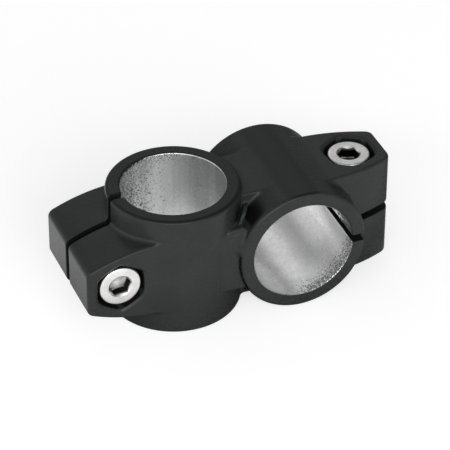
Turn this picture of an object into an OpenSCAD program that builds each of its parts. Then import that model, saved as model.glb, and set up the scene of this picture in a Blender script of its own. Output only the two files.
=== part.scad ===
// Two-way clamp connector for two round tubes that cross at a right angle.
// The upright sleeve holds a tube along Z and the cross sleeve one along Y.
// Origin: midway between the two bore axes. X runs from the upright to the cross sleeve.

/* [Tubes] */
// Diameter of the tube that each sleeve clamps
tube_d = 25; // [22:0.5:32]
// Metal left between the two bores where they pass each other
bore_gap = 1.7; // [1.2:0.1:4]

/* [Sleeves] */
// Wall thickness of a sleeve
sleeve_wall = 3.5; // [3:0.25:6]
// Length of a sleeve along its bore
sleeve_len = 32; // [28:0.5:44]
// Radius of the rounded outer edge of a sleeve's rim
rim_round = 1; // [0.4:0.1:2]
// Chamfer at each mouth of a bore
bore_chamfer = 0.3; // [0.1:0.1:1]

/* [Clamping ears] */
// Width of the slot that splits a sleeve and its ears
slot_w = 1.9; // [1:0.1:3]
// Metal between the slot and the seat of the screw head, and again to the nut's seat
ear_grip = 6.15; // [5:0.05:8]
// Distance from the bore's wall to the screw axis
screw_offset = 5.7; // [5.4:0.1:8]
// Distance from the screw axis to the ears' free end
ear_end = 8.35; // [7.5:0.05:12]
// Height of an ear where it leaves the sleeve
ear_height = 19.9; // [17:0.1:24]
// Radius of the bowed upper and lower sides of an ear
ear_bow_r = 43.5; // [34:0.5:80]
// Radius of the two corners at an ear's free end
ear_corner_r = 2; // [1.6:0.1:3]
// Radius of the rounded edges around an ear's outer face
ear_edge_round = 0.7; // [0.3:0.1:1.4]

/* [Web between the sleeves] */
// Height of each of the two crossed bars that join the sleeves
web_height = 16.8; // [12:0.2:20]
// Width of the bars, from face to face
web_width = 29; // [24:0.5:31]
// Radius of the rounded edges of the bars
web_round = 1.2; // [0.4:0.1:3]
// Height and width of the thin rib that the casting keeps in the groove between the sleeves
rib_size = 24.2; // [14:0.2:26]
// Thickness of that rib along X
rib_thick = 2; // [1.2:0.1:5]
// Radius of the rib's corners
rib_corner_r = 2.5; // [1:0.1:5]

/* [Screws and nuts] */
// Thread diameter of the clamping screws
screw_d = 6; // [5:0.5:6]
// Diameter of the screw head
head_d = 10.2; // [8.5:0.1:10.5]
// Height of the screw head
head_h = 6; // [5:0.1:6.4]
// Width across the flats of the hexagon socket
socket_af = 5; // [4:0.1:5.5]
// Depth of the hexagon socket
socket_depth = 3; // [2:0.1:3.6]
// Rounded edge around the top of the screw head
head_round = 0.4; // [0.2:0.1:1]
// Width across the flats of the nut
nut_af = 10; // [9:0.1:10.5]
// Height of the nut
nut_h = 5; // [4:0.1:6]
// Length of thread that stands out of the nut when the clamp is tight
thread_proud = 0.8; // [0.2:0.1:2]
// Angle at which the upright sleeve's screw stopped when it was tightened
upright_screw_turn = 8; // [0:1:59]
// Angle at which the cross sleeve's screw stopped when it was tightened
cross_screw_turn = 40; // [0:1:59]

/* [Pockets and clearances] */
// Depth of the hexagon pocket in the outer face of each ear
pocket_depth = 6.8; // [6:0.1:8]
// Room across the flats between the pocket's floor and what it holds
pocket_play = 0.3; // [0.2:0.05:1]
// Room between a nut's corners and the blunted corners of the pocket
corner_play = 0.1; // [0.05:0.05:0.3]
// Draft of the pocket's walls, in degrees
pocket_draft = 2.5; // [0.5:0.1:4]
// Chamfer around the pocket's mouth
pocket_lip = 0.5; // [0.1:0.05:0.8]
// Room around the screw in its through hole, on the radius
hole_play = 0.25; // [0.1:0.05:0.5]
// Room between the screw and the nut's bore, on the radius
thread_play = 0.05; // [0.02:0.01:0.1]

/* [Hidden] */
$fn = 96;

// Overshoot of a cut past the surface that it opens
past = 1;

bore_r = tube_d / 2;
sleeve_r = bore_r + sleeve_wall;
axis_gap = tube_d + bore_gap;
screw_u = bore_r + screw_offset;
ear_reach = screw_u + ear_end;
seat_t = slot_w / 2 + ear_grip;
ear_t = seat_t + pocket_depth;

// The bow of an ear starts level with the sleeve's wall at the ear's outer face
bow_u = sqrt(max(sleeve_r * sleeve_r - ear_t * ear_t, 1));
bow_w = ear_height / 2 - ear_bow_r;

// Centre of the small corner radius, and the angle at which it runs into the bow
corner_u = ear_reach - ear_corner_r;
corner_w = bow_w + sqrt(pow(ear_bow_r - ear_corner_r, 2) - pow(corner_u - bow_u, 2));
corner_turn = atan2(corner_w - bow_w, corner_u - bow_u);

// The corner stands out by this much, so that it crosses the faces it runs into
corner_ease = 0.03;

pocket_af = max(nut_af, head_d) + pocket_play;
pocket_blunt = max(nut_af / sqrt(3), head_d / 2) + corner_play;
pocket_flare = tan(pocket_draft) * pocket_depth;

screw_len = 2 * seat_t + nut_h + thread_proud;
tip_chamfer = screw_d * 0.1;
nut_bore_r = screw_d / 2 + thread_play;
nut_chamfer = nut_af * 0.06;

coat = [0.2, 0.21, 0.21];
steel = [0.78, 0.79, 0.79];

// A clamp half is drawn with its bore along Z through the origin, its ears towards +X
// and its screw head at +Y. These two place it in the part.
module upright() {
    translate([-axis_gap / 2, 0, 0]) rotate([0, 0, 180]) children();
}

module cross() {
    translate([axis_gap / 2, 0, 0]) rotate([90, 0, 0]) children();
}

// Moves a thing that is drawn along Z, with the seat of the screw head at z = 0,
// onto the screw axis of a clamp half.
module on_screw_axis() {
    translate([screw_u, seat_t, 0]) rotate([-90, 0, 0]) children();
}

// Half section of a disc with rounded rims
module rim_profile(radius, half_height, round_r) {
    translate([0, -half_height]) square([radius - round_r, 2 * half_height]);
    translate([0, round_r - half_height]) square([radius, 2 * (half_height - round_r)]);
    for (side = [-1, 1])
        translate([radius - round_r, side * (half_height - round_r)]) outer_half_circle(round_r);
}

// The half of a circle on the +X side, so that a section with it stays clear of the axis
module outer_half_circle(r) {
    intersection() {
        circle(r);
        translate([0, -r]) square([r, 2 * r]);
    }
}

// Rectangle with four rounded corners, centred on the origin
module rounded_rectangle(width, height, round_r) {
    square([width - 2 * round_r, height], center = true);
    square([width, height - 2 * round_r], center = true);
    for (sx = [-1, 1], sy = [-1, 1])
        translate([sx * (width / 2 - round_r), sy * (height / 2 - round_r)]) circle(round_r);
}

module sleeve_blank() {
    rotate_extrude() rim_profile(sleeve_r, sleeve_len / 2, rim_round);
}

// A disc with rounded rims, lying with its axis along Y, for an ear's bowed sides
module bow_disc(side) {
    translate([bow_u, 0, side * bow_w]) rotate([90, 0, 0])
        rotate_extrude($fn = 192) rim_profile(ear_bow_r, ear_t, ear_edge_round);
}

// What is cut off the sharp corner between an ear's bowed side and its free end
module ear_corner_cut(side) {
    far = 3 * ear_corner_r;
    ease = [cos(corner_turn / 2) * corner_ease, sin(corner_turn / 2) * corner_ease];
    mirror([0, 0, side > 0 ? 0 : 1]) translate([corner_u + ease[0], 0, corner_w + ease[1]])
        rotate([90, 0, 0]) linear_extrude(2 * (ear_t + past), center = true) difference() {
            polygon([[0, 0], [far, 0], [far, far],
                     [far * cos(corner_turn), far * sin(corner_turn)]]);
            circle(ear_corner_r);
        }
}

// Both ears in one block, from the bore axis to the free end, before the slot parts them
module ear_blank() {
    difference() {
        intersection() {
            bow_disc(1);
            bow_disc(-1);
            linear_extrude(2 * ear_height, center = true)
                rim_profile(ear_reach, ear_t, ear_edge_round);
        }
        ear_corner_cut(1);
        ear_corner_cut(-1);
    }
}

// The bar that carries the ears' line on from the sleeve to the middle of the part
module web_bar() {
    rotate([0, -90, 0]) linear_extrude(axis_gap / 2)
        rounded_rectangle(web_height, web_width, web_round);
}

// The rib that stands in the groove where the sleeves run together
module groove_rib() {
    rotate([0, 90, 0]) linear_extrude(rib_thick, center = true)
        rounded_rectangle(rib_size, rib_size, rib_corner_r);
}

module clamp_half_blank() {
    sleeve_blank();
    ear_blank();
    web_bar();
}

module bore_cut() {
    cylinder(h = sleeve_len + 2 * past, r = bore_r, center = true);
    for (side = [0, 180])
        rotate([side, 0, 0]) translate([0, 0, sleeve_len / 2 - bore_chamfer])
            cylinder(h = bore_chamfer + past, r1 = bore_r, r2 = bore_r + bore_chamfer + past);
}

module slot_cut() {
    translate([0, -slot_w / 2, -sleeve_len / 2 - past])
        cube([ear_reach + past, slot_w, sleeve_len + 2 * past]);
}

// One pair of the recess's flats: a wedge as wide as the flats, which widens upwards
module flats_wedge(flats, flare, height) {
    rotate([90, 0, 0]) linear_extrude(4 * flats, center = true)
        polygon([[-flats / 2, 0], [flats / 2, 0],
                 [flats / 2 + flare, height], [-flats / 2 - flare, height]]);
}

// A hexagon recess with flats across X, whose walls lean outwards by flare over its height
// and whose corners are blunted at the given radius
module hexagon_recess(flats, blunt_r, flare, height) {
    intersection() {
        flats_wedge(flats, flare, height);
        rotate(60) flats_wedge(flats, flare, height);
        rotate(120) flats_wedge(flats, flare, height);
        cylinder(h = height, r1 = blunt_r, r2 = blunt_r + flare);
    }
}

module pocket_cut() {
    hexagon_recess(pocket_af, pocket_blunt, pocket_flare, pocket_depth);
    lip_flare = pocket_lip + past;
    translate([0, 0, pocket_depth - pocket_lip])
        hexagon_recess(pocket_af + 2 * pocket_flare, pocket_blunt + pocket_flare,
                       lip_flare, lip_flare);
}

module screw_cuts() {
    translate([screw_u, 0, 0]) rotate([-90, 0, 0])
        cylinder(h = 2 * ear_t, r = screw_d / 2 + hole_play, center = true);
    for (side = [0, 180])
        translate([screw_u, 0, 0]) rotate([-90 + side, 0, 0])
            translate([0, 0, seat_t]) pocket_cut();
}

module clamp_half_cuts() {
    bore_cut();
    slot_cut();
    screw_cuts();
}

module clamp_casting() {
    color(coat) difference() {
        union() {
            upright() clamp_half_blank();
            cross() clamp_half_blank();
            groove_rib();
        }
        upright() clamp_half_cuts();
        cross() clamp_half_cuts();
    }
}

module cap_screw(turn) {
    color(steel) difference() {
        rotate_extrude() screw_profile();
        translate([0, 0, head_h - socket_depth]) rotate(turn)
            cylinder(h = socket_depth + past, d = socket_af / cos(30), $fn = 6);
        translate([0, 0, head_h - socket_depth]) mirror([0, 0, 1])
            cylinder(h = socket_af / 4, r1 = socket_af / 2, r2 = 0);
    }
}

// Half section of the screw: head above the seat, shank below it
module screw_profile() {
    r = screw_d / 2;
    translate([0, -screw_len + tip_chamfer]) square([r, screw_len - tip_chamfer]);
    polygon([[0, -screw_len], [r - tip_chamfer, -screw_len], [r, -screw_len + tip_chamfer],
             [0, -screw_len + tip_chamfer]]);
    square([head_d / 2, head_h - head_round]);
    square([head_d / 2 - head_round, head_h]);
    translate([head_d / 2 - head_round, head_h - head_round]) circle(head_round);
}

// A hexagon nut with chamfered corners, standing on z = 0
module hex_nut() {
    corner_r = nut_af / sqrt(3);
    color(steel) difference() {
        intersection() {
            rotate(30) cylinder(h = nut_h, r = corner_r, $fn = 6);
            rotate_extrude() polygon([[0, 0], [nut_af / 2, 0], [corner_r + past, nut_chamfer + past],
                [corner_r + past, nut_h - nut_chamfer - past], [nut_af / 2, nut_h], [0, nut_h]]);
        }
        translate([0, 0, -past]) cylinder(h = nut_h + 2 * past, r = nut_bore_r);
    }
}

module seated_nut() {
    on_screw_axis() translate([0, 0, -2 * seat_t - nut_h]) hex_nut();
}

module upright_clamp_screw() {
    upright() on_screw_axis() cap_screw(upright_screw_turn);
}

module upright_clamp_nut() {
    upright() seated_nut();
}

module cross_clamp_screw() {
    cross() on_screw_axis() cap_screw(cross_screw_turn);
}

module cross_clamp_nut() {
    cross() seated_nut();
}

clamp_casting();
upright_clamp_screw();
upright_clamp_nut();
cross_clamp_screw();
cross_clamp_nut();
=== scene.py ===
"""Looks of a two-way clamp joint: the powder-coated casting with its bare bores, two cap screws and two nuts.
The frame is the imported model. Lengths in the shape functions are in millimetres, in the same frame."""
import math

import bpy
import numpy as np
from mathutils import Matrix, Vector


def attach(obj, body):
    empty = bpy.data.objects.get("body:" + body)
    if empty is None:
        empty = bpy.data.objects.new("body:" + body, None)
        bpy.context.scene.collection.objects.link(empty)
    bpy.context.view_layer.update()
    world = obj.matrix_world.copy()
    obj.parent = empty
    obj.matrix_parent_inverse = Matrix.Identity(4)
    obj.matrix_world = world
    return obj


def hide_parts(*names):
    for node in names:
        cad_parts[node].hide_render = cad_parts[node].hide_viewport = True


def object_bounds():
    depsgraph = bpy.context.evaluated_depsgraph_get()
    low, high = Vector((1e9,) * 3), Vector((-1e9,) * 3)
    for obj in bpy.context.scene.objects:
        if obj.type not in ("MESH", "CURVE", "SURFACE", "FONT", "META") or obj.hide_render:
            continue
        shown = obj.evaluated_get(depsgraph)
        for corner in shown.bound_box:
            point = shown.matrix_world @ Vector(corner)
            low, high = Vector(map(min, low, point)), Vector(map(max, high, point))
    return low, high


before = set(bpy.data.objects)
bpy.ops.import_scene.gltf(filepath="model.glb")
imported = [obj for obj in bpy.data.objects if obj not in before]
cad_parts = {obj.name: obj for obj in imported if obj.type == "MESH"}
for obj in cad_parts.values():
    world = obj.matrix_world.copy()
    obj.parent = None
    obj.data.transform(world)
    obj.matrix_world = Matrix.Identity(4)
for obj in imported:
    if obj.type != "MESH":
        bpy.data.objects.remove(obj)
cad_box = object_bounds()

MM = 0.001

# ---------------------------------------------------------------- dimensions, as in the part's source
BORE_R = 12.5
SLEEVE_R = 16.0
SLEEVE_HALF = 16.0
AXIS_GAP = 26.7
RIM_ROUND = 1.0
BORE_CHAMFER = 0.3
SLOT_W = 1.9
SCREW_U = 18.2
EAR_REACH = 26.55
EAR_T = 13.9
EAR_HEIGHT = 19.9
EAR_BOW_R = 43.5
EAR_CORNER_R = 2.0
EAR_EDGE_ROUND = 0.7
SEAT_T = 7.1
WEB_HEIGHT = 16.8
WEB_WIDTH = 29.0
WEB_ROUND = 1.2
RIB_SIZE = 24.2
RIB_CORNER_R = 2.5
POCKET_AF = 10.5
POCKET_BLUNT = 5.874
POCKET_DRAFT = math.tan(math.radians(2.5))
HOLE_R = 3.25

# ---------------------------------------------------------------- what only the casting's skin has
# Concave fillets: ears on sleeves, the web's bars on the cross sleeve and the upright half, the rib
FILLET = 1.0
WEB_FILLET, WEB_FILLET_SWELL = 0.35, 2.0
HALF_FILLET, HALF_FILLET_LOSS = 0.8, 0.5
RIB_FILLET = 0.5
# Convex edges
FRONT_CORNER_R = 3.0
CROSS_BAR_ROUND = 0.6
POCKET_CORNER = 0.9
POCKET_FLOOR_ROUND = 0.4
POCKET_MOUTH = 0.12
HOLE_EDGE = 0.2
SLOT_EDGE = 0.25
# The pockets' mouths flare out over the last bit of depth, and the heads' pockets are the roomier ones
POCKET_FLARE, FLARE_SLOPE = 0.45, 1.3
HEAD_POCKET_PLAY = 0.3
# The rib, measured across the groove
RIB_HALF, RIB_SPREAD, RIB_EDGE = 0.7, 1.4, 0.5
# The web's upper edge in front: its top, where its front starts to lean back and its ends start to fall,
# and the directions in which these slants face
EDGE_TOP, EDGE_LEAN_Z, EDGE_ROUND = 9.05, 7.0, 0.4
EDGE_BACK_Y, EDGE_LOW_Z = -11.0, 3.0
EDGE_LEFT_X, EDGE_RIGHT_X = -4.6, -0.7
FRONT_FACES_Y, FRONT_FACES_Z = -0.951, 0.309
LEFT_FACES = 0.707
RIGHT_FACES_X, RIGHT_FACES_Z = 0.883, 0.469
# The seam around the cross sleeve's front rim
SEAM_INSET, SEAM_HALF, SEAM_FLOOR_Y, SEAM_CORNER = 0.2, 0.1, -13.6, 0.08
SEAM_LOW_Z, SEAM_HIGH_Z, SEAM_EDGE = -9.0, 2.0, 0.1

# ---------------------------------------------------------------- camera
AZIMUTH, ELEVATION, ROLL = (math.radians(a) for a in (-22.17, 35.86, 0.24))
DISTANCE = 0.6571
AIM_RIGHT, AIM_UP = 0.000205, -0.000265
LENS = 220.93


def make_camera():
    ca, sa, ce, se = math.cos(AZIMUTH), math.sin(AZIMUTH), math.cos(ELEVATION), math.sin(ELEVATION)
    back = Vector((sa * ce, -ca * ce, se))
    flat_right = Vector((ca, sa, 0))
    flat_up = back.cross(flat_right)
    right = math.cos(ROLL) * flat_right + math.sin(ROLL) * flat_up
    up = math.cos(ROLL) * flat_up - math.sin(ROLL) * flat_right
    place = back * DISTANCE - right * AIM_RIGHT - up * AIM_UP
    data = bpy.data.cameras.new("Camera")
    data.sensor_width = 36
    data.lens = LENS
    data.clip_start = 0.02
    data.clip_end = 40
    camera = bpy.data.objects.new("Camera", data)
    turn = Matrix((right, up, back)).transposed().to_4x4()
    camera.matrix_world = Matrix.Translation(place) @ turn
    bpy.context.scene.collection.objects.link(camera)
    bpy.context.scene.camera = camera


make_camera()


# ---------------------------------------------------------------- distance fields
def join(a, b, r):
    """Union with a concave fillet of radius r."""
    return np.maximum(r, np.minimum(a, b)) - np.hypot(np.maximum(r - a, 0), np.maximum(r - b, 0))


def meet(a, b, r):
    """Intersection with a convex rounding of radius r."""
    return np.minimum(-r, np.maximum(a, b)) + np.hypot(np.maximum(r + a, 0), np.maximum(r + b, 0))


def cut(a, b, r):
    """a less b, with the new edge rounded to radius r."""
    return meet(a, -b, r)


def cut_chamfer(a, b, c):
    """a less b, with a chamfer of leg c on the new edge."""
    return np.maximum(np.maximum(a, -b), (a - b + c) * math.sqrt(0.5))


def rise(value, start, over):
    """0 up to start, and 1 from start + over on."""
    return np.clip((value - start) / over, 0, 1)


# Each half of the joint has its own directions: u out from the bore's axis through the ears,
# t across the slot, and w along the bore.
def sleeve(u, t, w):
    """A sleeve before its bore, with rounded rims."""
    return meet(np.hypot(u, t) - SLEEVE_R, abs(w) - SLEEVE_HALF, RIM_ROUND)


BOW_U = math.sqrt(SLEEVE_R**2 - EAR_T**2)
BOW_W = EAR_HEIGHT / 2 - EAR_BOW_R


def ear_outline(u, w, corner_r):
    """An ear from its flat side: bowed above and below, with rounded corners at the free end."""
    high = abs(w)
    corner_u = EAR_REACH - corner_r
    corner_w = BOW_W + math.sqrt((EAR_BOW_R - corner_r) ** 2 - (corner_u - BOW_U) ** 2)
    bow = np.hypot(u - BOW_U, high - BOW_W) - (EAR_BOW_R - corner_r)
    past_u, past_w = u - corner_u, high - corner_w
    normal_u = (corner_u - BOW_U) / (EAR_BOW_R - corner_r)
    normal_w = (corner_w - BOW_W) / (EAR_BOW_R - corner_r)
    at_corner = (past_w > 0) & (past_u * normal_w > past_w * normal_u)
    return np.where(at_corner, np.hypot(past_u, past_w), np.maximum(bow, past_u)) - corner_r


def ear(u, t, w, front_r):
    """Both ears of a half before the slot. front_r rounds the free corners on the side of positive w."""
    outline = ear_outline(u, w, EAR_CORNER_R)
    if front_r != EAR_CORNER_R:
        outline = np.where(w > 0, ear_outline(u, w, front_r), outline)
    return meet(np.maximum(outline, -u), abs(t) - EAR_T, EAR_EDGE_ROUND)


def bar(u, t, w, rounding):
    """One of the web's two crossed bars, from a half's bore axis to the other one's."""
    section = meet(abs(w) - WEB_HEIGHT / 2, abs(t) - WEB_WIDTH / 2, rounding)
    return np.maximum(section, np.maximum(u, -AXIS_GAP / 2 - u))


def pocket(u, t, w):
    """The drafted hexagon recess in each ear's outer face."""
    a, depth = u - SCREW_U, abs(t) - SEAT_T
    half = POCKET_AF / 2 + HEAD_POCKET_PLAY * (t > 0) + POCKET_DRAFT * depth
    half = half + FLARE_SLOPE * np.maximum(depth - (EAR_T - SEAT_T - POCKET_FLARE), 0)
    c, s = math.cos(math.pi / 3), math.sin(math.pi / 3)
    flats = np.maximum(abs(a), np.maximum(abs(a * c + w * s), abs(a * c - w * s))) - half
    blunt = np.hypot(a, w) - (POCKET_BLUNT - POCKET_AF / 2 + half)
    return meet(meet(flats, blunt, POCKET_CORNER), -depth, POCKET_FLOOR_ROUND)


def blank_half(u, t, w, front_r=EAR_CORNER_R):
    """A sleeve with its ears, before anything is cut."""
    return join(sleeve(u, t, w), ear(u, t, w, front_r), FILLET)


def cut_half(body, u, t, w):
    """The body less one half's pockets, screw hole, bore and slot."""
    body = cut(body, pocket(u, t, w), POCKET_MOUTH)
    body = cut(body, np.hypot(u - SCREW_U, w) - HOLE_R, HOLE_EDGE)
    body = cut_chamfer(body, np.hypot(u, t) - BORE_R + 0 * w, BORE_CHAMFER)
    return cut(body, np.maximum(abs(t) - SLOT_W / 2, -u) + 0 * w, SLOT_EDGE)


def upper_edge(x, y, z):
    """The web's fuller upper edge in front, where the rib stands on it: a leaning front and slanted ends."""
    over = z - EDGE_TOP
    leaning = (z - EDGE_LEAN_Z) * FRONT_FACES_Z + (y + WEB_WIDTH / 2) * FRONT_FACES_Y
    front = np.maximum(leaning, -WEB_WIDTH / 2 - y)
    left = (over - (x - EDGE_LEFT_X)) * LEFT_FACES
    right = (x - EDGE_RIGHT_X) * RIGHT_FACES_X + over * RIGHT_FACES_Z
    edge = meet(meet(front, over, EDGE_ROUND), np.maximum(left, right), EDGE_ROUND)
    return np.maximum(edge, np.maximum(y - EDGE_BACK_Y, EDGE_LOW_Z - z))


def casting(x, y, z):
    upright = (-(x + AXIS_GAP / 2), -y, z)
    cross = (x - AXIS_GAP / 2, z, -y)
    # The upright's bar runs out smoothly over the cross sleeve's front rim, above its middle
    smooth = rise(z, 1.0, 3.0) * rise(z, 8.2, -4.0) * rise(-y, 8.0, 3.0)
    fillet = WEB_FILLET + WEB_FILLET_SWELL * smooth * smooth * (3 - 2 * smooth)
    web = np.minimum(bar(*upright, WEB_ROUND), upper_edge(x, y, z))
    body = join(blank_half(*cross, FRONT_CORNER_R), web, fillet)
    # and doesn't swell past its end
    body = np.maximum(body, abs(y) - SLEEVE_HALF)
    body = join(body, bar(*cross, CROSS_BAR_ROUND), FILLET)
    # The fillet around the upright half is finer in front and on top
    crisp = np.maximum(rise(-y, 11.0, 2.0), rise(z, 9.0, 2.0))
    body = join(body, blank_half(*upright), HALF_FILLET - HALF_FILLET_LOSS * crisp)
    # The thin rib that the two halves of the mould leave in the groove between the sleeves
    from_upright = np.hypot(x + AXIS_GAP / 2, y)
    from_cross = np.hypot(x - AXIS_GAP / 2, z)
    square = meet(abs(y) - RIB_SIZE / 2, abs(z) - RIB_SIZE / 2, RIB_CORNER_R)
    between = abs(from_upright - from_cross) / RIB_SPREAD - RIB_HALF
    body = join(body, meet(square, between, RIB_EDGE), RIB_FILLET)
    # The seam where the sliding core of the cross sleeve met the lower half of the mould
    ring = abs(from_cross - SLEEVE_R + SEAM_INSET) - SEAM_HALF
    seam = meet(ring, y - SEAM_FLOOR_Y, SEAM_CORNER)
    body = cut(body, np.maximum(seam, np.maximum(z - SEAM_HIGH_Z, SEAM_LOW_Z - z)), SEAM_EDGE)
    body = cut_half(body, *upright)
    return cut_half(body, *cross)


# ---------------------------------------------------------------- a field's surface as a mesh
def slope(field, p, eps=0.02):
    """Gradient of a field at points p."""
    g = np.empty_like(p)
    for k in range(3):
        d = np.zeros(3)
        d[k] = eps
        hi, lo = (p + d).T, (p - d).T
        g[:, k] = (field(*hi) - field(*lo)) / (2 * eps)
    return g


def settle(field, p, rounds=3):
    """Moves points onto the field's surface, by at most 0.2 mm a round."""
    for _ in range(rounds):
        g = slope(field, p)
        size = np.maximum((g * g).sum(1), 0.25)
        p = p - np.clip(field(*p.T) / size, -0.2, 0.2)[:, None] * g
    return p


def surface_net(field, low, high, step):
    """Quads on the field's surface: one vertex in each grid cell that the surface passes through."""
    axes = [np.arange(a, b + step, step, dtype=np.float32) for a, b in zip(low, high)]
    values = field(axes[0][:, None, None], axes[1][None, :, None], axes[2][None, None, :])
    inside = values < 0
    count = np.zeros([n - 1 for n in inside.shape], np.uint8)
    corners = [(i, j, k) for i in (0, 1) for j in (0, 1) for k in (0, 1)]
    for i, j, k in corners:
        count += inside[i : i + count.shape[0], j : j + count.shape[1], k : k + count.shape[2]]
    cells = np.argwhere((count > 0) & (count < 8))
    index = np.full(count.shape, -1, np.int32)
    index[tuple(cells.T)] = np.arange(len(cells))
    at = {c: values[tuple((cells + c).T)].astype(float) for c in corners}
    total, hits = np.zeros((len(cells), 3)), np.zeros(len(cells))
    for c in corners:
        for k in range(3):
            if c[k]:
                continue
            far = tuple(1 if n == k else v for n, v in enumerate(c))
            crossing = (at[c] < 0) != (at[far] < 0)
            share = np.where(crossing, at[c] / np.where(crossing, at[c] - at[far], 1), 0)
            spot = np.array(c, float) + share[:, None] * (np.array(far) - np.array(c))
            total += spot * crossing[:, None]
            hits += crossing
    points = np.array(low) + (cells + total / hits[:, None]) * step
    quads = []
    for k in range(3):
        a, b = (k + 1) % 3, (k + 2) % 3
        first = np.take(inside, range(inside.shape[k] - 1), k)
        second = np.take(inside, range(1, inside.shape[k]), k)
        for out, pair in ((True, first & ~second), (False, ~first & second)):
            edges = np.argwhere(pair)
            ring = []
            for da, db in ((-1, -1), (0, -1), (0, 0), (-1, 0)):
                cell = edges.copy()
                cell[:, a] += da
                cell[:, b] += db
                ring.append(index[tuple(cell.T)])
            quads.append(np.stack(ring if out else ring[::-1], 1))
    return points, np.concatenate(quads)


def mesh_from(name, points, faces):
    """A mesh of equal-sided faces given as an integer array."""
    mesh = bpy.data.meshes.new(name)
    count, sides = faces.shape
    mesh.vertices.add(len(points))
    mesh.vertices.foreach_set("co", np.ascontiguousarray(points, np.float32).ravel())
    mesh.loops.add(count * sides)
    mesh.loops.foreach_set("vertex_index", np.ascontiguousarray(faces, np.int32).ravel())
    mesh.polygons.add(count)
    mesh.polygons.foreach_set("loop_start", np.arange(0, count * sides, sides, dtype=np.int32))
    mesh.update(calc_edges=True)
    mesh.validate()
    return mesh


def lighten(mesh, most):
    """The same mesh with at most so many triangles, fewer where it is flat."""
    triangles = sum(len(p.vertices) - 2 for p in mesh.polygons)
    if triangles <= most:
        return mesh
    holder = bpy.data.objects.new("holder", mesh)
    bpy.context.scene.collection.objects.link(holder)
    holder.modifiers.new("Fewer", "DECIMATE").ratio = most / triangles
    done = bpy.data.meshes.new_from_object(holder.evaluated_get(bpy.context.evaluated_depsgraph_get()))
    bpy.data.objects.remove(holder)
    return done


# The grid's first corner keeps its cells clear of the casting's flat faces
GRID_LOW, GRID_HIGH = (-40.43, -16.57, -16.57), (40.5, 16.6, 16.6)
GRID_STEP = 0.2
MOST_TRIANGLES = 190000


def build_casting():
    points, quads = surface_net(casting, GRID_LOW, GRID_HIGH, GRID_STEP)
    mesh = lighten(mesh_from("casting_net", settle(casting, points), quads), MOST_TRIANGLES)
    places = np.empty(len(mesh.vertices) * 3, np.float32)
    mesh.vertices.foreach_get("co", places)
    points = settle(casting, places.reshape(-1, 3).astype(float))
    normals = slope(casting, points)
    normals /= np.linalg.norm(normals, axis=1)[:, None]
    mesh.vertices.foreach_set("co", (points * MM).astype(np.float32).ravel())
    mesh.polygons.foreach_set("use_smooth", np.ones(len(mesh.polygons), bool))
    mesh.update()
    mesh.normals_split_custom_set_from_vertices(normals.tolist())
    mesh.name = "coated_casting"
    return bpy.data.objects.new("coated_casting", mesh)


# ---------------------------------------------------------------- screws and nuts
SCREW_R = 3.0
SCREW_LEN = 20.0
HEAD_R = 5.1
HEAD_H = 6.0
HEAD_ROUND = 0.4
SOCKET_AF = 5.0
SOCKET_DEPTH = 3.0
SOCKET_MOUTH_R = 2.95
KNURL = 0.1
KNURLS = 48
NUT_AF = 10.0
NUT_H = 5.0
NUT_FACE_R = 4.75
NUT_MOUTH_R = 3.12
NUT_BORE_R = 2.5
NUT_ROOM = 0.08
NUT_CHAMFER = math.radians(30)
# The chamfered tip, and the plain neck below the head
TIP_R = SCREW_R - 0.6 - 0.02
TIP_FACE_R = 1.2
NECK_R = SCREW_R - 0.25
PITCH = 1.0
THREAD_DEPTH = 0.61
THREAD_INSET = 0.01
# Shares of the pitch: the crest's flat, and both flanks together
CREST, FLANK = 0.125, 0.71
# Heights on the shank: its rows of vertices, and where the thread runs out below the head
ROWS_FROM_TIP, ROWS_TO_Z = 0.08, -0.8
RUNOUT_Z, RUNOUT_LEN = -1.5, 0.7
# The angles in degrees at which the screws stopped when they were tightened
UPRIGHT_TURN, CROSS_TURN = 8, 40
# Vertices in a ring, and rows of vertices along a thread
RING = 192
SHANK_RING = 48
NUT_RING = 72
SHANK_ROWS = 228
NUT_ROWS = 60


def on_upright(p):
    """From a screw's own frame (head seat at 0, head upwards) to the upright clamp's screw axis."""
    return np.stack([-AXIS_GAP / 2 - SCREW_U - p[:, 0], -SEAT_T - p[:, 2], -p[:, 1]], 1)


def on_cross(p):
    """The same for the cross clamp's screw axis."""
    return np.stack([AXIS_GAP / 2 + SCREW_U + p[:, 0], p[:, 1], SEAT_T + p[:, 2]], 1)


def hexagon(angle, flats):
    """Radius of a hexagon with a flat facing angle 0."""
    return flats / 2 / np.cos((angle + math.pi / 6) % (math.pi / 3) - math.pi / 6)


def thread(angle, z):
    """Radius of a right-hand thread's surface."""
    away = abs(2 * ((z / PITCH - angle / (2 * math.pi)) % 1) - 1)
    return SCREW_R - THREAD_INSET - THREAD_DEPTH * rise(away, CREST, FLANK)


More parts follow.
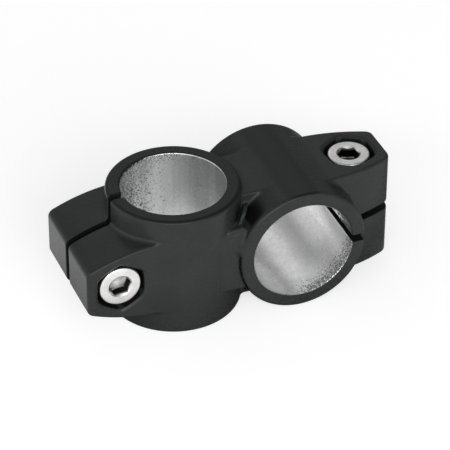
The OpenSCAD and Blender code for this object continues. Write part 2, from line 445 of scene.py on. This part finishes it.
class Shell:
    """A mesh built ring by ring, all rings starting at one angle."""

    def __init__(self, start):
        self.start = start
        self.points, self.faces, self.last, self.total = [], [], None, 0

    def ring(self, count, radius, z):
        """Adds a ring, joined to the ring before it. radius and z may be functions of the angle."""
        a = self.start + np.arange(count) * 2 * math.pi / count
        r = radius(a) if callable(radius) else np.full(count, float(radius))
        h = z(a) if callable(z) else np.full(count, float(z))
        self.points.append(np.stack([r * np.cos(a), r * np.sin(a), h], 1))
        new = list(range(self.total, self.total + count))
        self.total += count
        if self.last:
            self.bridge(self.last, new)
        self.last = new
        return new

    def rings(self, count, *steps):
        for radius, z in steps:
            self.ring(count, radius, z)

    def bridge(self, low, high):
        """Faces between two rings, one of which may have several times the other's vertices."""
        if len(low) == len(high):
            n = len(low)
            self.faces += [(low[i], low[(i + 1) % n], high[(i + 1) % n], high[i]) for i in range(n)]
            return
        flip = len(low) < len(high)
        few, many = (low, high) if flip else (high, low)
        k = len(many) // len(few)
        for i, corner in enumerate(few):
            after = few[(i + 1) % len(few)]
            run = [many[(i * k + j) % len(many)] for j in range(k + 1)]
            half = k // 2
            fan = [(run[j], run[j + 1], corner) for j in range(half)]
            fan += [(run[j], run[j + 1], after) for j in range(half, k)]
            fan.append((run[half], after, corner))
            self.faces += [f[::-1] for f in fan] if flip else fan

    def cap(self, z, top):
        """Closes the last ring with a fan to a point on the axis."""
        self.points.append(np.array([[0.0, 0.0, z]]))
        n = len(self.last)
        for i in range(n):
            face = (self.last[i], self.last[(i + 1) % n], self.total)
            self.faces.append(face if top else face[::-1])
        self.total += 1

    def build(self, name, place, crease=32):
        points = place(np.concatenate(self.points)) * MM
        mesh = bpy.data.meshes.new(name)
        mesh.from_pydata(points.tolist(), [], self.faces)
        mesh.validate()
        mesh.polygons.foreach_set("use_smooth", np.ones(len(mesh.polygons), bool))
        mesh.set_sharp_from_angle(angle=math.radians(crease))
        return bpy.data.objects.new(name, mesh)


def build_screw(name, place, turn):
    """An M6 cap screw: chamfered tip, thread, seat, knurled head, rounded edge, hexagon socket."""
    s = Shell(math.radians(turn))
    tip, edge, floor = -SCREW_LEN, HEAD_H - HEAD_ROUND, HEAD_H - SOCKET_DEPTH

    def shank(z):
        def radius(a):
            runout = rise(z, RUNOUT_Z, RUNOUT_LEN)
            worn = thread(a, z) * (1 - runout) + NECK_R * runout
            return np.minimum(worn, TIP_R + (z - tip))
        return radius

    def knurled(a):
        return HEAD_R - KNURL * (0.5 - 0.5 * np.cos(a * KNURLS))

    def wall(a):
        return hexagon(a - s.start - math.pi / 6, SOCKET_AF)

    s.ring(SHANK_RING, TIP_FACE_R, tip)
    s.cap(tip, top=False)
    s.ring(SHANK_RING, lambda a: np.minimum(thread(a, tip), TIP_R), tip)
    for z in np.linspace(tip + ROWS_FROM_TIP, ROWS_TO_Z, SHANK_ROWS):
        s.ring(SHANK_RING, shank(z), z)
    s.rings(SHANK_RING, (NECK_R, -0.3), (SCREW_R - 0.1, -0.1), (SCREW_R + 0.15, 0.0))
    s.rings(RING, (HEAD_R - 0.3, 0.0), (HEAD_R - 0.12, 0.06), (HEAD_R - KNURL, 0.25))
    s.rings(RING, (knurled, 0.4), (knurled, edge - 0.35), (HEAD_R - 0.02, edge - 0.1))
    for a in (k * math.pi / 12 for k in range(7)):
        s.ring(RING, HEAD_R - 0.02 - HEAD_ROUND * (1 - math.cos(a)), HEAD_H - HEAD_ROUND * (1 - math.sin(a)))
    s.rings(RING, (4.0, HEAD_H), (3.5, HEAD_H), (SOCKET_MOUTH_R, HEAD_H))
    s.ring(RING, wall, lambda a: HEAD_H - (SOCKET_MOUTH_R - wall(a)))
    s.rings(RING, (wall, floor), (SOCKET_AF / 2 - 0.03, floor), (SOCKET_AF / 4, floor - SOCKET_AF / 8))
    s.cap(floor - SOCKET_AF / 4, top=True)
    return s.build(name, place)


def build_nut(name, place):
    """An M6 nut: chamfered corners above and below, countersunk thread."""
    s = Shell(0.0)
    base = -2 * SEAT_T - NUT_H
    top = base + NUT_H

    def outline(a):
        return hexagon(a, NUT_AF)

    def chamfer(a):
        return (outline(a) - NUT_FACE_R) * math.tan(NUT_CHAMFER)

    def bore(z):
        sink = NUT_MOUTH_R - min(z - base, top - z)
        return lambda a: np.maximum(np.maximum(thread(a, z) + NUT_ROOM, NUT_BORE_R), sink)

    first = s.ring(NUT_RING, NUT_MOUTH_R, base)
    s.rings(NUT_RING, (NUT_FACE_R, base), (outline, lambda a: base + chamfer(a)))
    s.rings(NUT_RING, (outline, lambda a: top - chamfer(a)), (NUT_FACE_R, top), (NUT_MOUTH_R, top))
    for z in np.linspace(top, base, NUT_ROWS + 2)[1:-1]:
        s.ring(NUT_RING, bore(z), z)
    s.bridge(s.last, first)
    return s.build(name, place)


# ---------------------------------------------------------------- materials
class Nodes:
    """A short way to write the node tree of a material or a world."""

    def __init__(self, owner):
        owner.use_nodes = True
        self.owner, self.tree = owner, owner.node_tree
        self.tree.nodes.clear()

    def feed(self, socket, value):
        """Links a socket to another node's output, or sets it to a plain value."""
        if isinstance(value, bpy.types.NodeSocket):
            self.tree.links.new(value, socket)
        else:
            socket.default_value = value

    def add(self, kind, inputs=None, **settings):
        node = self.tree.nodes.new(kind)
        for key, value in settings.items():
            setattr(node, key, value)
        for key, value in (inputs or {}).items():
            self.feed(node.inputs[key], value)
        return node

    def math(self, operation, *values):
        return self.add("ShaderNodeMath", dict(enumerate(values)), operation=operation).outputs[0]

    def times(self, first, *others):
        for other in others:
            first = self.math("MULTIPLY", first, other)
        return first

    def most(self, a, b):
        return self.math("MAXIMUM", a, b)

    def opposite(self, value):
        return self.math("SUBTRACT", 1.0, value)

    def length(self, a, b):
        return self.math("SQRT", self.math("MULTIPLY_ADD", a, a, self.math("MULTIPLY", b, b)))

    def ramp(self, value, low, high, out_low=0.0, out_high=1.0):
        """value mapped smoothly from low..high to out_low..out_high."""
        inputs = {"Value": value, "From Min": low, "From Max": high, "To Min": out_low, "To Max": out_high}
        return self.add("ShaderNodeMapRange", inputs, interpolation_type="SMOOTHSTEP").outputs["Result"]

    def mix(self, factor, a, b):
        return self.add("ShaderNodeMix", {0: factor, 6: a, 7: b}, data_type="RGBA").outputs[2]

    def mix_value(self, factor, a, b):
        return self.add("ShaderNodeMix", {0: factor, 2: a, 3: b}, data_type="FLOAT").outputs[0]

    def noise(self, place, scale, detail, roughness):
        inputs = {"Vector": place, "Scale": scale, "Detail": detail, "Roughness": roughness}
        return self.add("ShaderNodeTexNoise", inputs).outputs["Fac"]

    def principled(self, color, metallic, roughness, height):
        """The material's surface, with height in metres as a bump."""
        bump = self.add("ShaderNodeBump", {"Strength": 1.0, "Distance": 1.0, "Height": height})
        return self.add("ShaderNodeBsdfPrincipled", {"Base Color": color, "Metallic": metallic,
                        "Roughness": roughness, "Normal": bump.outputs[0]})

    def finish(self, shader):
        self.add("ShaderNodeOutputMaterial", {"Surface": shader.outputs[0]})
        return self.owner


def gray(level):
    return (level, level, level, 1.0)


COAT_LOW, COAT_HIGH = (0.0235, 0.0252, 0.0249, 1.0), (0.0265, 0.0284, 0.0281, 1.0)
# Painted shade for the coat at the very top
COAT_TOP_SHADE = (0.013, 0.014, 0.014, 1.0)
COAT_SPECULAR = 0.17
# Painted shade in the slots, pockets and screw holes
RECESS_SHADE, RECESS_ROUGH = gray(0.005), 0.6
# Painted shade in the groove beside the rib
GROOVE_SHADE_COLOR, GROOVE_SHADE_ROUGH, GROOVE_SHADE_COVER = gray(0.002), 0.5, 0.95
ALLOY_LOW, ALLOY_HIGH = (0.84, 0.845, 0.845, 1.0), (0.95, 0.95, 0.945, 1.0)
ALLOY_STREAK = (0.70, 0.71, 0.71, 1.0)
UPRIGHT_ALLOY_LOW, UPRIGHT_ALLOY_HIGH = (0.90, 0.905, 0.905, 1.0), (0.78, 0.788, 0.788, 1.0)
STEEL_LOW, STEEL_HIGH = (0.77, 0.77, 0.765, 1.0), (0.91, 0.91, 0.90, 1.0)
# Fine pits, and painted shade for the sockets
STEEL_PIT, SOCKET_SHADE = (0.30, 0.30, 0.295, 1.0), gray(0.02)
# Between these sums of grain and spray the bores' dust grows to its full cover
DUST_FROM, DUST_TO, DUST_COVER = 0.655, 0.715, 0.8
# The pockets' greatest radius in mm, and in metres the middle of the painted shade in the groove and the
# heights of the bumps
POCKET_R = 6.1
GROOVE_SHADE_PLACE = (0.0012, -0.0122, 0.0105)
POWDER_BUMP, WAVE_BUMP = 0.000003, 0.000012
PIT_BUMP, DENT_BUMP = 0.00001, 0.00002


def casting_material():
    """Matt black powder coat outside, with painted shade in the recesses, in the groove and at the very top;
    bare machined alloy in the bores, with overspray at some mouths.
    """
    n = Nodes(bpy.data.materials.new("coated_casting"))
    place = n.add("ShaderNodeTexCoord").outputs["Object"]
    x, y, z = n.add("ShaderNodeSeparateXYZ", {0: place}).outputs
    speck = n.noise(place, 2800.0, 1.5, 0.6)
    flakes = n.noise(place, 1100.0, 3.0, 0.6)
    cloud = n.noise(place, 170.0, 4.0, 0.6)
    grain = n.math("MULTIPLY_ADD", speck, 0.7, n.times(flakes, 0.3))

    def bore(along, offset, across, stretch, edge):
        """For a bore's wall: the mask, the depth from the nearer mouth and the two offsets from the axis,
        all in mm, and the streaks along it."""
        du = n.times(n.math("ADD", x, offset * MM), 1 / MM)
        dv = n.times(across, 1 / MM)
        within = n.math("LESS_THAN", n.length(du, dv), BORE_R + edge)
        depth = n.math("SUBTRACT", SLEEVE_HALF, n.times(n.math("ABSOLUTE", along), 1 / MM))
        mapped = n.add("ShaderNodeVectorMath", {0: place, 1: stretch}, operation="MULTIPLY").outputs[0]
        return within, depth, du, dv, n.noise(mapped, 420.0, 2.0, 0.5)

    def bare(within, depth, spray, creep):
        """1 where the alloy shows: inside the edge to which the coat creeps, and between the specks."""
        edge = n.times(creep, n.ramp(flakes, 0.3, 0.7, 0.3, 1.5))
        inside = n.times(within, n.math("GREATER_THAN", depth, edge))
        dusted = n.ramp(n.math("ADD", grain, spray), DUST_FROM, DUST_TO, 0.0, DUST_COVER)
        return n.times(inside, n.opposite(dusted))

    up_in, up_depth, up_du, up_dv, up_streak = bore(z, AXIS_GAP / 2, y, (1.0, 1.0, 0.04), 0.1)
    cross_in, cross_depth, cross_du, cross_dv, cross_streak = bore(
        y, -AXIS_GAP / 2, z, (1.0, 0.04, 1.0), 0.16)
    up_out = n.times(up_du, -1.0)

    # The upright bore caught spray on its slotted side, all the way down, and a little along both mouths
    slot_side = n.ramp(up_out, -8.0, 10.0)
    up_mouth = n.times(n.ramp(up_depth, 0.5, 6.0, 0.15, 0.0), n.ramp(up_du, 4.0, 8.0, 1.0, 0.0))
    up_spray = n.most(n.times(slot_side, 0.195), n.math("MULTIPLY_ADD", slot_side, 0.05, up_mouth))
    up_creep = n.ramp(n.math("MULTIPLY_ADD", up_dv, 0.3, up_out), 4.0, 10.0, 0.0, 0.8)
    # The cross bore caught it low on its slotted side, close to the mouths, and the coat creeps in above
    # the slot in front
    low_side = n.ramp(n.math("SUBTRACT", n.times(cross_du, 0.8), n.times(cross_dv, 0.6)), 2.0, 11.0)
    cross_spray = n.times(low_side, n.ramp(cross_depth, 0.4, 7.5, 0.23, 0.0))
    above_slot = n.times(n.ramp(cross_dv, 0.3, 0.9), n.ramp(cross_dv, 6.0, 10.0, 1.0, 0.0))
    slot_creep = n.times(n.ramp(cross_du, 4.0, 8.0, 0.0, 8.0), n.math("LESS_THAN", y, 0.0))
    cross_creep = n.times(above_slot, slot_creep)
    metal = n.most(bare(up_in, up_depth, up_spray, up_creep),
                   bare(cross_in, cross_depth, cross_spray, cross_creep))
    streak = n.math("MULTIPLY_ADD", up_in, n.math("SUBTRACT", up_streak, cross_streak), cross_streak)

    alloy = n.mix(n.ramp(cloud, 0.3, 0.7), ALLOY_LOW, ALLOY_HIGH)
    alloy = n.mix(n.ramp(streak, 0.4, 0.75, 0.0, 0.3), alloy, ALLOY_STREAK)
    alloy = n.mix(up_in, alloy, n.mix(n.ramp(streak, 0.35, 0.65), UPRIGHT_ALLOY_LOW, UPRIGHT_ALLOY_HIGH))
    coat = n.mix(n.ramp(cloud, 0.35, 0.65), COAT_LOW, COAT_HIGH)
    # Painted shade: the coat is darker at the very top, on the upright rim and along the crest of the cross
    # sleeve
    coat = n.mix(n.ramp(z, 0.0152, 0.0158), coat, COAT_TOP_SHADE)
    color = n.mix(metal, coat, alloy)
    rough = n.mix_value(metal, n.ramp(flakes, 0.3, 0.7, 0.25, 0.30), n.ramp(flakes, 0.3, 0.7, 0.26, 0.36))

    def recess(outward, across, along):
        """The slot, the pockets and the screw hole of one half, where painted shade makes the coat near black
        and rougher.
        """
        high = n.times(n.math("ABSOLUTE", across), 1 / MM)
        slot = n.times(n.math("LESS_THAN", high, SLOT_W / 2 + 0.05), n.math("GREATER_THAN", outward, BORE_R))
        away = n.length(n.math("SUBTRACT", outward, SCREW_U), n.times(along, 1 / MM))
        deep = n.math("LESS_THAN", high, EAR_T - POCKET_FLARE)
        return n.most(slot, n.times(n.math("LESS_THAN", away, POCKET_R), deep))

    # Painted shade in the recesses, outside the bores: near black and rougher
    recess_shade = n.times(n.most(recess(up_out, y, z), recess(cross_du, z, y)), n.opposite(n.most(up_in, cross_in)))
    color = n.mix(recess_shade, color, RECESS_SHADE)
    rough = n.mix_value(recess_shade, rough, RECESS_ROUGH)
    # Painted shade where the groove between the sleeves ends above the web, beside the rib
    gap = n.add("ShaderNodeVectorMath", {0: place, 1: GROOVE_SHADE_PLACE}, operation="DISTANCE")
    apart = n.math("SUBTRACT", n.length(up_du, up_dv), n.length(cross_du, cross_dv))
    off_rib = n.ramp(n.math("ABSOLUTE", apart), 0.9, 1.5)
    low_end = n.times(n.ramp(z, 0.0090, 0.0098), n.ramp(y, -0.0150, -0.0142))
    groove_shade = n.times(n.ramp(gap.outputs["Value"], 0.0024, 0.0056, 1.0, 0.0), off_rib, low_end)
    color = n.mix(n.times(groove_shade, GROOVE_SHADE_COVER), color, GROOVE_SHADE_COLOR)
    rough = n.mix_value(groove_shade, rough, GROOVE_SHADE_ROUGH)

    powder = n.noise(place, 4200.0, 2.0, 0.5)
    waves = n.noise(place, 420.0, 2.0, 0.5)
    height = n.math("MULTIPLY_ADD", powder, POWDER_BUMP, n.times(waves, WAVE_BUMP))
    shader = n.principled(color, metal, rough, height)
    shader.inputs["Specular IOR Level"].default_value = COAT_SPECULAR
    return n.finish(shader)


def steel_material():
    """Bright zinc-plated steel, fine-pitted, with painted shade down in the hexagon sockets."""
    n = Nodes(bpy.data.materials.new("screw_steel"))
    place = n.add("ShaderNodeTexCoord").outputs["Object"]
    x, y, z = n.add("ShaderNodeSeparateXYZ", {0: place}).outputs
    fine = n.noise(place, 2600.0, 3.0, 0.6)
    broad = n.noise(place, 500.0, 3.0, 0.5)

    def socket_shade(offset, along, side, across):
        du = n.times(n.math("ADD", x, offset * MM), 1 / MM)
        radius = n.length(du, n.times(across, 1 / MM))
        depth = n.math("SUBTRACT", SEAT_T + HEAD_H, n.times(along, side / MM))
        shown = n.times(n.math("LESS_THAN", radius, SOCKET_MOUTH_R), n.math("LESS_THAN", depth, HEAD_H))
        return n.times(shown, n.times(n.ramp(depth, 0.3, 1.1), n.ramp(depth, 2.7, 3.0, 1.0, 0.5)))

    screw_x = AXIS_GAP / 2 + SCREW_U
    # Painted shade down in both hexagon sockets
    socket = n.most(socket_shade(screw_x, y, -1.0, z), socket_shade(-screw_x, z, 1.0, y))
    color = n.mix(n.ramp(broad, 0.3, 0.7), STEEL_LOW, STEEL_HIGH)
    color = n.mix(n.ramp(fine, 0.60, 0.72, 0.0, 0.65), color, STEEL_PIT)
    color = n.mix(socket, color, SOCKET_SHADE)
    height = n.math("MULTIPLY_ADD", fine, PIT_BUMP, n.times(broad, DENT_BUMP))
    return n.finish(n.principled(color, 1.0, n.ramp(fine, 0.3, 0.7, 0.26, 0.42), height))


def put(obj, body, slot, material, *replaced):
    bpy.context.scene.collection.objects.link(obj)
    obj.data.materials.clear()
    obj.data.materials.append(material)
    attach(obj, body)
    if replaced:
        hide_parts(*replaced)


coat_look = casting_material()
steel_look = steel_material()
put(build_casting(), "casting", "coated_casting", coat_look, "clamp_casting")
put(build_screw("upright_cap_screw", on_upright, UPRIGHT_TURN), "upright_screw", "screw_steel", steel_look,
    "upright_clamp_screw")
put(build_screw("cross_cap_screw", on_cross, CROSS_TURN), "cross_screw", "screw_steel", steel_look,
    "cross_clamp_screw")
put(build_nut("upright_hex_nut", on_upright), "upright_nut", "screw_steel", steel_look, "upright_clamp_nut")
put(build_nut("cross_hex_nut", on_cross), "cross_nut", "screw_steel", steel_look, "cross_clamp_nut")


# ---------------------------------------------------------------- floor, world and lamps
FLOOR_HALF, FLOOR_DROP = 4.0, 0.00002
FLOOR_COLOR = gray(0.5)
# Colours of the floor's diffuse part in its painted shadow and where it is lit, and the strength of its glow
FLOOR_SHADOW, FLOOR_PALE, FLOOR_GLOW = gray(0.1), gray(0.60), 0.625
# Half the length and width in mm of the painted shadow right below the part
SHADOW_PATCH_X, SHADOW_PATCH_Y = 30.0, 11.5


def make_floor():
    level = float(cad_box[0][2]) - FLOOR_DROP
    corners = [(x * FLOOR_HALF, y * FLOOR_HALF, level) for x, y in ((-1, -1), (1, -1), (1, 1), (-1, 1))]
    mesh = bpy.data.meshes.new("floor")
    mesh.from_pydata(corners, [], [(0, 1, 2, 3)])
    floor = bpy.data.objects.new("floor", mesh)
    bpy.context.scene.collection.objects.link(floor)
    n = Nodes(bpy.data.materials.new("floor"))
    path = n.add("ShaderNodeLightPath")
    seen = n.most(n.most(path.outputs["Is Camera Ray"], path.outputs["Is Glossy Ray"]),
                  path.outputs["Is Transmission Ray"])
    plain = n.add("ShaderNodeBsdfDiffuse", {"Color": FLOOR_COLOR})
    x, y, _ = n.add("ShaderNodeSeparateXYZ", {0: n.add("ShaderNodeTexCoord").outputs["Object"]}).outputs
    outside = n.length(*(n.most(n.math("SUBTRACT", n.math("ABSOLUTE", way), reach * MM), 0.0)
                         for way, reach in ((x, SHADOW_PATCH_X), (y, SHADOW_PATCH_Y))))
    # A painted shadow which the part reflects: the floor is dark right below the part, and it ends a little
    # way behind it
    painted_light = n.times(n.ramp(outside, 0.0, 0.025), n.ramp(outside, 0.12, 0.35, 1.0, 0.0))
    # Painted light keeps it pale through the upright bore, and painted shade dims it beside the cross
    # sleeve's ears
    in_bore = n.length(n.math("ADD", x, AXIS_GAP / 2 * MM), y)
    painted_light = n.most(painted_light, n.ramp(in_bore, (BORE_R - 1) * MM, BORE_R * MM, 1.0, 0.0))
    right = n.times(n.ramp(x, 0.040, 0.050), n.ramp(y, -0.022, -0.010))
    painted_light = n.times(painted_light, n.math("MULTIPLY_ADD", right, -0.75, 1.0))
    painted_light = n.most(path.outputs["Is Camera Ray"], painted_light)
    faint = n.add("ShaderNodeBsdfDiffuse", {"Color": n.mix(painted_light, FLOOR_SHADOW, FLOOR_PALE)})
    glow = n.add("ShaderNodeEmission", {"Color": gray(1.0), "Strength": n.times(painted_light, FLOOR_GLOW)})
    white = n.add("ShaderNodeAddShader", {0: faint.outputs[0], 1: glow.outputs[0]})
    shader = n.add("ShaderNodeMixShader", {0: seen, 1: plain.outputs[0], 2: white.outputs[0]})
    mesh.materials.append(n.finish(shader))


# Soft boxes around the object: azimuth from the front towards +X, elevation, strength, spread
SOFT_BOXES = (
    (0, 10, 5.0, 10), (-75, 10, 1.3, 10), (-108, 10, 1.2, 10), (36, 10, 0.5, 10),
    (144, 10, 0.15, 10), (-144, 10, 0.25, 10), (168, 40, 0.70, 11),
)
SURROUND = 0.04
MOST_MIRRORED = 1.5
BACKDROP = 0.95


def make_world():
    """A dim surround with a few wide soft boxes in it."""
    world = bpy.data.worlds.new("World")
    bpy.context.scene.world = world
    n = Nodes(world)
    direction = n.add("ShaderNodeTexCoord").outputs["Generated"]
    total = SURROUND
    for azimuth, elevation, strength, spread in SOFT_BOXES:
        a, e = math.radians(azimuth), math.radians(elevation)
        center = (math.cos(e) * math.sin(a), -math.cos(e) * math.cos(a), math.sin(e))
        toward = n.add("ShaderNodeVectorMath", {0: direction, 1: center}, operation="DOT_PRODUCT")
        lobe = n.math("MULTIPLY_ADD", toward.outputs["Value"], float(spread), -float(spread))
        total = n.math("MULTIPLY_ADD", n.math("EXPONENT", lobe), strength, total)
    # Metal and glass mirror the soft boxes at a plain level, and the camera sees a pale backdrop
    path = n.add("ShaderNodeLightPath")
    mirrored = n.most(path.outputs["Is Glossy Ray"], path.outputs["Is Transmission Ray"])
    excess = n.most(n.math("SUBTRACT", total, MOST_MIRRORED), 0.0)
    total = n.math("SUBTRACT", total, n.times(mirrored, excess))
    total = n.math("MULTIPLY_ADD", path.outputs["Is Camera Ray"], n.math("SUBTRACT", BACKDROP, total), total)
    back = n.add("ShaderNodeBackground", {"Color": gray(1.0), "Strength": total})
    n.add("ShaderNodeOutputWorld", {"Surface": back.outputs[0]})


LAMP_PLACE = (-0.40, -0.74, 0.54)
LAMP_WIDTH, LAMP_HEIGHT, LAMP_POWER = 1.2, 0.2, 4.2


def make_lamp():
    """A strip light in front, on the left and above, turned towards the object."""
    data = bpy.data.lights.new("strip_box", "AREA")
    data.shape = "RECTANGLE"
    data.size = LAMP_WIDTH
    data.size_y = LAMP_HEIGHT
    data.energy = LAMP_POWER
    lamp = bpy.data.objects.new("strip_box", data)
    turn = Vector(LAMP_PLACE).to_track_quat("Z", "Y").to_matrix().to_4x4()
    lamp.matrix_world = Matrix.Translation(LAMP_PLACE) @ turn
    bpy.context.scene.collection.objects.link(lamp)


make_floor()
make_world()
make_lamp()

scene = bpy.context.scene
scene.view_settings.view_transform = "Standard"
